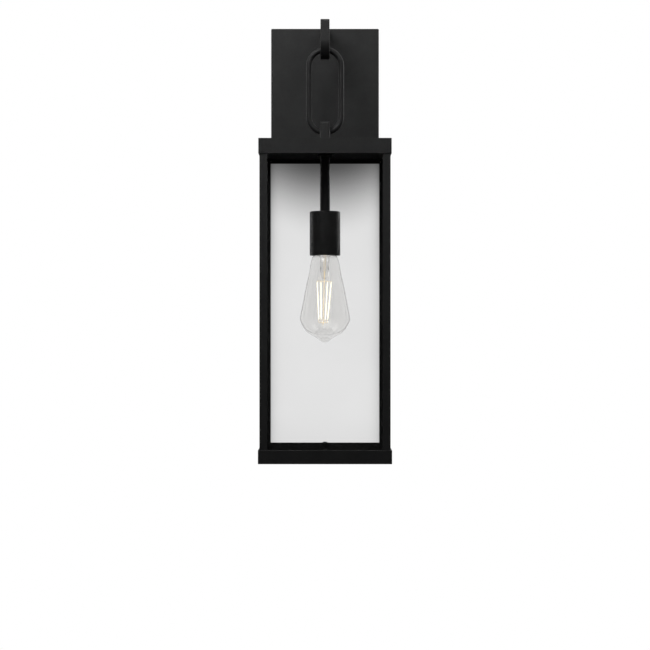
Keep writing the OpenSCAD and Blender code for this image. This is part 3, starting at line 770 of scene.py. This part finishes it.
def make_tube_and_cup():
    """The tube with a threaded end in the ceiling and in the cup, and the deep cup."""
    node, top, foot = "socket_rod", low("rod_collar").z, CUP_TOP
    r, nipple, bore = size(node).x / 2, 4.9 * MM, 3.4 * MM
    a, b, e, pitch = low(node).z, high(node).z, 0.4 * MM, 0.94 * MM
    outline = ([(bore, a), (nipple - e, a)] + rows(nipple, a + e, foot, pitch, 6)
               + [(r - e, foot)] + arc(r - e, foot + e, e, -90, 0) + arc(r - e, top - e, e, 0, 90)
               + rows(nipple, top, b - e, pitch, 6) + [(nipple - e, b), (bore, b)])
    cut = thread(pitch, 0.45 * MM, nipple)
    upright(node, lathe(outline, 64, closed=True, twist=cut), 40.0)

    r, wall, edge, lip = size("socket_cup").x / 2, 1.2 * MM, 1.5 * MM, 0.55 * MM
    hole, bevel = 4.95 * MM, 0.3 * MM
    outline = (arc(r - lip, CUP_BOTTOM + lip, lip, -90, 0)
               + arc(r - edge, CUP_TOP - edge, edge, 0, 90, 10)
               + [(hole, CUP_TOP), (hole, CUP_TOP - wall)]
               + arc(r - wall - MM, CUP_TOP - wall - MM, MM, 90, 0)
               + [(r - wall, CUP_BOTTOM + bevel), (r - wall + bevel, CUP_BOTTOM)])
    upright("socket_cup", lathe(outline, 96, closed=True), 50.0)


def make_screw_shell():
    """Brass shell with its rolled thread, and the ring that closes its top."""
    node, wall, pitch, deep = "socket_screw_shell", 0.35 * MM, 3.6 * MM, 0.3 * MM
    a, b, r = low(node).z, high(node).z, size(node).x / 2
    under = b - 0.8 * MM
    outline = ([(r - 0.1 * MM, a)] + rows(r, a + 0.5 * MM, under, pitch, 12)
               + [(r - 0.2 * MM, b), (10 * MM, b), (10 * MM, under + 0.3 * MM)]
               + rows(r - wall, under - 0.2 * MM, a + 0.5 * MM, pitch, 12)
               + [(r - wall - 0.1 * MM, a)])
    upright(node, lathe(outline, 72, closed=True, twist=thread(pitch, deep, r, r - wall)), 50.0)


def smooth_path(keys, steps=6):
    """A smooth path in metres through key points in millimetres."""
    return [Vector(p) * MM for p in spline(keys, steps)]


def make_leads():
    """Two lamp leads, from the socket up the tube and back to the wall, and the ground lead."""
    y, screw_z = AXIS.y / MM, centre("socket_terminal_screws").z / MM
    top, cup, deck = high("socket_body").z / MM, CUP_TOP / MM, high("ceiling_plate").z / MM
    hole, r = centre("wire_grommet").z / MM, 1.1 * MM
    keys = [(14.5, y, screw_z + 3), (14.5, y, top + 0.4), (13.2, y, top + 2.4),
            (10, y, top + 2.8), (6, y, top + 2.9), (3, y, top + 4), (1.8, y, top + 6.5),
            (1.5, y, top + 11), (1.5, y, cup + 30), (1.5, y, deck - 2), (1.8, y, deck + 3.2),
            (4, y + 1.5, deck + 6.6), (8, y + 6, deck + 6.6), (10.5, y + 14, deck + 6),
            (10, y + 30, hole), (6, y + 52, hole), (1.7, y + 74, hole), (1.5, y + 84, hole),
            (2, -15, hole + 1.5), (6, -12, hole + 9), (10, -11, hole + 20), (12, -11, hole + 30)]
    x = centre("ground_terminal").x / MM
    ground = [(x, -3.5, -7), (x, -3.5, -10.6), (x + 0.6, -5, -13.6), (x + 2.5, -8.5, -17.5),
              (x + 4, -10.7, -22), (x + 4.5, -11, -27)]
    for node, route in (("lead_black", [(-x, y, z) for x, y, z in keys]), ("lead_white", keys),
                        ("ground_lead", ground)):
        made = bmesh.new()
        tube(made, smooth_path(route), r, 16)
        stand_for(as_object(node + "_round", made), node)


def make_connectors():
    """Twist-on connectors: ribbed cones with a wider skirt round the mouth."""
    node = "wire_connectors"
    boxes = islands(node)
    h, r = reach(boxes[0], (0, 0, 1)), reach(boxes[0], (0, 0, 1), True) / 2
    neck, tip, bore = r - 1.2 * MM, 3.1 * MM, 1.7 * MM
    ribbed = [(r - 0.02 * MM, h * k / 40) for k in range(3, 17)]
    cone = [(neck - (neck - tip) * k / 8, h * (0.47 + 0.45 * k / 8)) for k in range(9)]
    outline = ([(0, 6 * MM), (bore, 6 * MM), (bore, 1.5 * MM), (r - 2 * MM, 0.2 * MM), (r - MM, 0)]
               + arc(r - 0.6 * MM, 0.6 * MM, 0.6 * MM, -60, 0) + ribbed + cone
               + arc(0, h - tip * 0.8, tip * 0.8, 30, 90))

    def ribs(radius, height, angle):
        deep = 0.45 * MM if height > h * 0.07 and radius > tip * 0.9 else 0
        return radius - deep * (0.5 + 0.5 * math.cos(14 * angle)) ** 2

    spots = []
    for a, b in boxes:
        middle = (a + b) / 2
        way = (0, 0, -1) if middle.x > 20 * MM else (0, 0, 1)
        spots.append(Matrix.Translation(middle - Vector(way) * h / 2) @ facing(way))
    scatter(node, lathe(outline, 84, twist=ribs), spots, 50.0)


# ---------------------------------------------------------------- bulb

# (share of the largest radius, share of the length below the base), neck to sealed tip
BULB_KEYS = [(0.39, -0.02), (0.395, 0.008), (0.43, 0.02), (0.5, 0.04), (0.545, 0.07),
             (0.595, 0.13), (0.645, 0.22), (0.715, 0.31), (0.79, 0.405), (0.86, 0.51),
             (0.93, 0.61), (0.982, 0.685), (1.0, 0.735), (0.968, 0.775), (0.908, 0.81),
             (0.8, 0.858), (0.64, 0.9), (0.46, 0.926), (0.33, 0.946), (0.22, 0.97),
             (0.12, 0.991), (0.0, 1.0)]


def bulb_outline(inset):
    """The bulb's outline moved in by inset, as (radius, height) from the neck down."""
    r, length = size("bulb_glass").x / 2, NECK - TIP
    return [(max(share * r - inset, 0.0), NECK - down * (length - inset))
            for share, down in spline(BULB_KEYS, 5)]


def make_bulb_shell():
    """The sealed glass envelope, about half a millimetre thick."""
    outline = bulb_outline(0.02 * MM) + bulb_outline(0.5 * MM)[::-1]
    upright("bulb_glass", lathe(outline, 96, closed=True), 80.0)


def make_bulb_base():
    """The threaded nickel shell, the black insulator above it and the contact on top."""
    node, pitch, wall = "bulb_base_shell", 3.6 * MM, 0.45 * MM
    a, b, r = low(node).z, high(node).z, size(node).x / 2
    start = NECK + 4.5 * MM  # where the thread starts
    outline = ([(r - 0.15 * MM, a), (r - 0.05 * MM, a + 0.2 * MM), (r - 0.05 * MM, start - MM)]
               + rows(r, start, b - MM, pitch, 14)
               + [(r - 0.9 * MM, b), (r - 1.3 * MM, b - 0.2 * MM)]
               + rows(r - wall, b - MM, start, pitch, 14)
               + [(r - wall, start - MM), (r - wall, a)])
    cut = thread(pitch, 0.7 * MM, r, r - wall)
    upright(node, lathe(outline, 96, closed=True, twist=cut), 50.0)

    node = "bulb_base_insulator"
    a, b, r, rim = low(node).z, high(node).z, size(node).x / 2, 5.0 * MM
    dish = b - 0.3 * MM
    cone = spline([(r, a + 0.9 * MM), (r * 0.8, a + 1.7 * MM), (rim + 1.6 * MM, b - MM),
                   (rim, b)], 5)
    outline = [(0, a), (r - 0.2 * MM, a)] + cone + [(rim - MM, dish), (0, dish)]
    upright(node, lathe(outline, 64), 50.0)

    node = "bulb_center_contact"
    a, b, r = low(node).z, high(node).z, size(node).x / 2
    turns = [math.radians(9 * k) for k in range(10)]
    dome = [(r * math.cos(t), a + (b - a) * math.sin(t)) for t in turns]
    upright(node, lathe([(0, a)] + dome + [(0, b)], 48), 50.0)


def leaning():
    """The bulb's inner parts lean a little from its axis, from the foot of the stem down."""
    foot = Vector((AXIS.x, AXIS.y, NECK + 1.5 * MM))
    return Matrix.Translation(foot) @ Matrix.Rotation(math.radians(1.5), 4, "Y")


# top and bottom end of each filament: distance out and height from the stem's foot, in mm
FILAMENT_ENDS = ((9.9, -37.5), (6.2, -86.5))
FILAMENT_WAYS = [Vector((math.cos(turn), math.sin(turn), 0))
                 for turn in (math.radians(25 + 90 * k) for k in range(4))]


def make_stem():
    """Hollow glass foot with a flare at the top, pinched flat where the wires are sealed in."""
    keys = [(11.2, -0.3), (10.6, -1.6), (7.9, -4), (6.4, -8), (6.0, -14), (5.7, -20), (5.3, -25),
            (4.8, -29), (3.9, -32), (2.3, -33.6), (1.0, -33.95)]
    hollow = [(0, -30), (1.3, -27), (2.6, -22), (3.8, -16), (4.9, -10), (6.0, -5.6),
              (9.4, -1.4), (10.3, 0)]
    outline = [(r * MM, z * MM)
               for r, z in spline(hollow, 5) + [(10.9, 0)] + spline(keys, 5) + [(0, -34)]]
    pinch_from, pinch_over = -19 * MM, 9 * MM

    def pinch(radius, height, angle):
        share = min(max((pinch_from - height) / pinch_over, 0), 1)
        return radius * (1 - 0.4 * share * math.sin(angle) ** 2)

    scatter("bulb_stem", lathe(outline, 64, twist=pinch), [leaning()], 60.0)


def make_support_wires():
    """The centre wire, the two wires sealed in the stem, and four arms at each end of it."""
    made = bmesh.new()
    (top_r, top), (foot_r, foot) = FILAMENT_ENDS
    tube(made, [Vector((0, 0, z)) * MM for z in (-24, -33, -50, -70, foot - 6.6, foot - 7)],
         [0.5 * MM] * 5 + [0.25 * MM], 12)
    for side in (-1, 1):
        keys = [(side * x, 0, z)
                for x, z in ((1.1, -3), (1.0, -14), (0.8, -24), (0.5, -31), (0.2, -35.6))]
        tube(made, smooth_path(keys), 0.35 * MM, 10)
    for far, z, rise in ((top_r, top + 0.4, -0.8), (foot_r, foot - 3.8, 4.2)):
        knob = [(0, z + 1.1), (0.8, z + 0.8), (1.1, z), (0.8, z - 0.8), (0, z - 1.1)]
        made = joined([made, lathe([(r * MM, h * MM) for r, h in knob], 16)])
        bends = ((0.2, 0), (far * 0.5, 0.2), (far - 0.9, 0.2), (far - 0.1, rise * 0.3), (far, rise))
        for way in FILAMENT_WAYS:
            keys = [tuple(way * d + Vector((0, 0, z + up))) for d, up in bends]
            tube(made, smooth_path(keys, 4), 0.34 * MM, 10)
    scatter("bulb_support_wires", made, [leaning()], 50.0)


def make_filaments():
    """Four slim rods, closer together at the bottom, each with a rounded end."""
    (top_r, top), (foot_r, foot) = FILAMENT_ENDS
    half = 12  # steps from the middle to an end
    girth = [0.76 * MM * (1 - 0.45 * (abs(k - half) / half) ** 16) for k in range(2 * half + 1)]
    made = bmesh.new()
    for way in FILAMENT_WAYS:
        start = (way * foot_r + Vector((0, 0, foot + 0.2))) * MM
        end = (way * top_r + Vector((0, 0, top - 0.1))) * MM
        tube(made, [start.lerp(end, k / (2 * half)) for k in range(2 * half + 1)], girth, 16)
    scatter("bulb_filaments", made, [leaning()], 50.0)


# ---------------------------------------------------------------- stage, lights and camera


def flat_plane(name, corners, mat):
    """A stage plane that is looked at but throws no light or shadow on the lantern."""
    made = bmesh.new()
    made.faces.new([made.verts.new(c) for c in corners])
    mesh = bpy.data.meshes.new(name)
    made.to_mesh(mesh)
    made.free()
    mesh.materials.append(mat)
    obj = bpy.data.objects.new(name, mesh)
    bpy.context.scene.collection.objects.link(obj)
    obj.visible_diffuse = obj.visible_shadow = False


def one_sided(mat, surface):
    """Shows a stage surface from its front only, to the eye and to sharp mirrors and lenses."""
    path = add(mat, "ShaderNodeLightPath")
    unseen = add(mat, "ShaderNodeBsdfTransparent")
    shown = path.outputs["Is Camera Ray"]
    for sharp_ray in ("Is Transmission Ray", "Is Singular Ray"):
        shown = calc(mat, "MAXIMUM", shown, path.outputs[sharp_ray])
    finish_with(mat, product(mat, shown, outward(mat)), unseen.outputs["BSDF"], surface)


def wall_material():
    """An evenly lit white wall, with a soft painted shade of the cap and posts behind the glazing.
    """
    mat = bare_material("white_wall_painted_shade")
    place = add(mat, "ShaderNodeTexCoord")
    parts = add(mat, "ShaderNodeSeparateXYZ")
    wire(mat, place.outputs["Object"], parts.inputs["Vector"])
    z = parts.outputs["Z"]
    out = calc(mat, "ABSOLUTE", parts.outputs["X"])
    # painted shade of the cap: it reaches lowest in the middle, and arches up to both sides
    arch = 4.4
    arched = calc(mat, "SUBTRACT", z, product(mat, calc(mat, "POWER", out, 2.0), arch))
    painted_cap_shade = span(mat, arched, -0.08, -0.194, 0.08, 0.915, smooth=True)
    # painted shade: a little darker towards the foot of the glazing
    painted_foot_shade = span(mat, z, -0.41, -0.48, 1.0, 0.93, smooth=True)
    # painted shade of each post: it fades away from its inner edge, and is deeper higher up
    post_edge, fade = 0.0717, 190.0
    near_post = calc(mat, "MINIMUM", calc(mat, "SUBTRACT", out, post_edge), 0.0)
    painted_post_shade = calc(mat, "EXPONENT", product(mat, near_post, fade))
    painted_post_shade = product(mat, painted_post_shade, span(mat, z, -0.1, -0.26, 0.52, 0.27))
    painted_post_shade = calc(mat, "SUBTRACT", 1.0, painted_post_shade)
    # the painted shade of the cap, the foot and the posts together
    shade = product(mat, painted_cap_shade, painted_foot_shade, painted_post_shade)
    # where the painted shade shows: 1 behind the glazing, and 0 past the lantern's sides, cap and
    # rim
    inside = product(mat, span(mat, out, 0.074, 0.084, 1, 0),
                     span(mat, z, -0.056, -0.082, 0, 1), span(mat, z, -0.484, -0.46, 0, 1))
    mix = add(mat, "ShaderNodeMix", data_type="FLOAT", A=1.0)
    wire(mat, inside, mix.inputs["Factor"])
    wire(mat, shade, mix.inputs["B"])
    glow = add(mat, "ShaderNodeEmission", Color=(1, 1, 1, 1))
    wire(mat, mix.outputs[0], glow.inputs["Strength"])
    one_sided(mat, glow.outputs["Emission"])
    return mat


def floor_material():
    """A plain pale floor, as evenly lit as the wall."""
    mat = bare_material("pale_floor")
    glow = add(mat, "ShaderNodeEmission")
    wire(mat, ramp(mat, noise(mat, 2.0), grey(0.8, 0.01), grey(0.83, 0.01)), glow.inputs["Color"])
    one_sided(mat, glow.outputs["Emission"])
    return mat


def make_stage():
    """A wall just behind the lantern's wall plane, and a floor well below."""
    half, floor_z, top_z, front, back = 3.0, -1.0, 2.0, -4.0, 0.6 * MM
    flat_plane("wall", [(-half, back, floor_z), (half, back, floor_z), (half, back, top_z),
                        (-half, back, top_z)], wall_material())
    flat_plane("floor", [(-half, front, floor_z), (half, front, floor_z), (half, back, floor_z),
                         (-half, back, floor_z)], floor_material())


# area lamps: name, place, the spot each one faces, width, height, watts
LIGHTS = [
    ("key", (-0.5, -1.0, 1.0), (0, -0.1, -0.1), 1.4, 1.1, 8.6),
    ("near_left", (-0.27, -0.8, 0.31), (0, -0.1, -0.08), 0.22, 0.25, 1.05),
    ("near_right", (0.26, -0.8, 0.31), (0, -0.1, -0.08), 0.22, 0.25, 0.6),
    ("left", (-1.5, -0.9, 0.2), (0, -0.1, -0.1), 1.2, 1.2, 0.6),
    ("right", (1.5, -0.9, 0.2), (0, -0.1, -0.1), 1.2, 1.2, 0.9),
    ("front", (0, -2.4, 0.95), (0, -0.1, -0.1), 1.2, 1.2, 0.9),
    ("low_left", (-0.5, -1.5, -0.1), (0, -0.1, -0.1), 0.4, 0.6, 0.12),
    ("low_right", (0.5, -1.5, -0.1), (0, -0.1, -0.1), 0.4, 0.6, 0.1),
    ("side_left", (-1.7, 1.3, 0.3), (0, -0.1, -0.2), 1.4, 1.4, 8),
    ("side_right", (1.7, 1.3, 0.3), (0, -0.1, -0.2), 1.4, 1.4, 8),
    ("rear", (0.9, 1.6, 0.7), (0, 0, -0.15), 1.6, 1.6, 14),
    ("top", (0, 0.1, 2.0), (0, -0.1, -0.1), 1.6, 1.2, 4),
    ("over_left", (-0.9, -0.1, 1.05), (0, -0.1, -0.2), 0.7, 0.7, 3),
    ("over_right", (0.9, -0.1, 1.05), (0, -0.1, -0.2), 0.7, 0.7, 3),
]


def make_world():
    """White to the eye and through glass, but almost dark as a light."""
    world = bpy.data.worlds.new("studio")
    bpy.context.scene.world = world
    world.use_nodes = True
    back = world.node_tree.nodes["Background"]
    back.inputs["Color"].default_value = (1, 1, 1, 1)
    dim = add(world, "ShaderNodeBackground", Strength=0.008)
    path = add(world, "ShaderNodeLightPath")
    seen = calc(world, "MAXIMUM",
                path.outputs["Is Camera Ray"], path.outputs["Is Transmission Ray"])
    finish_with(world, seen, dim.outputs["Background"], back.outputs["Background"])


def make_lights():
    for name, at, towards, width, height, watts in LIGHTS:
        lamp = bpy.data.lights.new(name, "AREA")
        lamp.shape = "RECTANGLE"
        lamp.size, lamp.size_y, lamp.energy = width, height, watts
        obj = bpy.data.objects.new(name, lamp)
        obj.location = at
        obj.rotation_euler = (Vector(towards) - Vector(at)).to_track_quat("-Z", "Y").to_euler()
        bpy.context.scene.collection.objects.link(obj)


def make_camera():
    """Level and square to the wall, at about the height where the bulb is widest."""
    away, drop = 2.45, 390.6 * MM  # from the cap's front edge, and below the plate's top
    cam = bpy.data.cameras.new("camera")
    cam.lens, cam.sensor_width = 109.8, 36
    cam.clip_start, cam.clip_end = 0.1, 30
    obj = bpy.data.objects.new("camera", cam)
    obj.location = (0, low("cap").y - away, high("backplate").z - drop)
    obj.rotation_euler = (math.radians(90), 0, 0)
    bpy.context.scene.collection.objects.link(obj)
    bpy.context.scene.camera = obj


# the CAD's own meshes get the same looks as the pieces that stand for them
for cad_node, cad_slot in SLOT_OF.items():
    for own in frame["nodes"][cad_node].material_slots:
        own.material = MATERIALS[cad_slot]
make_sheet_metal()
make_link()
make_fixings()
make_tube_and_cup()
make_screw_shell()
make_leads()
make_connectors()
make_bulb_shell()
make_bulb_base()
make_stem()
make_support_wires()
make_filaments()
make_camera()
make_stage()
make_world()
make_lights()
bpy.context.scene.view_settings.view_transform = "Standard"
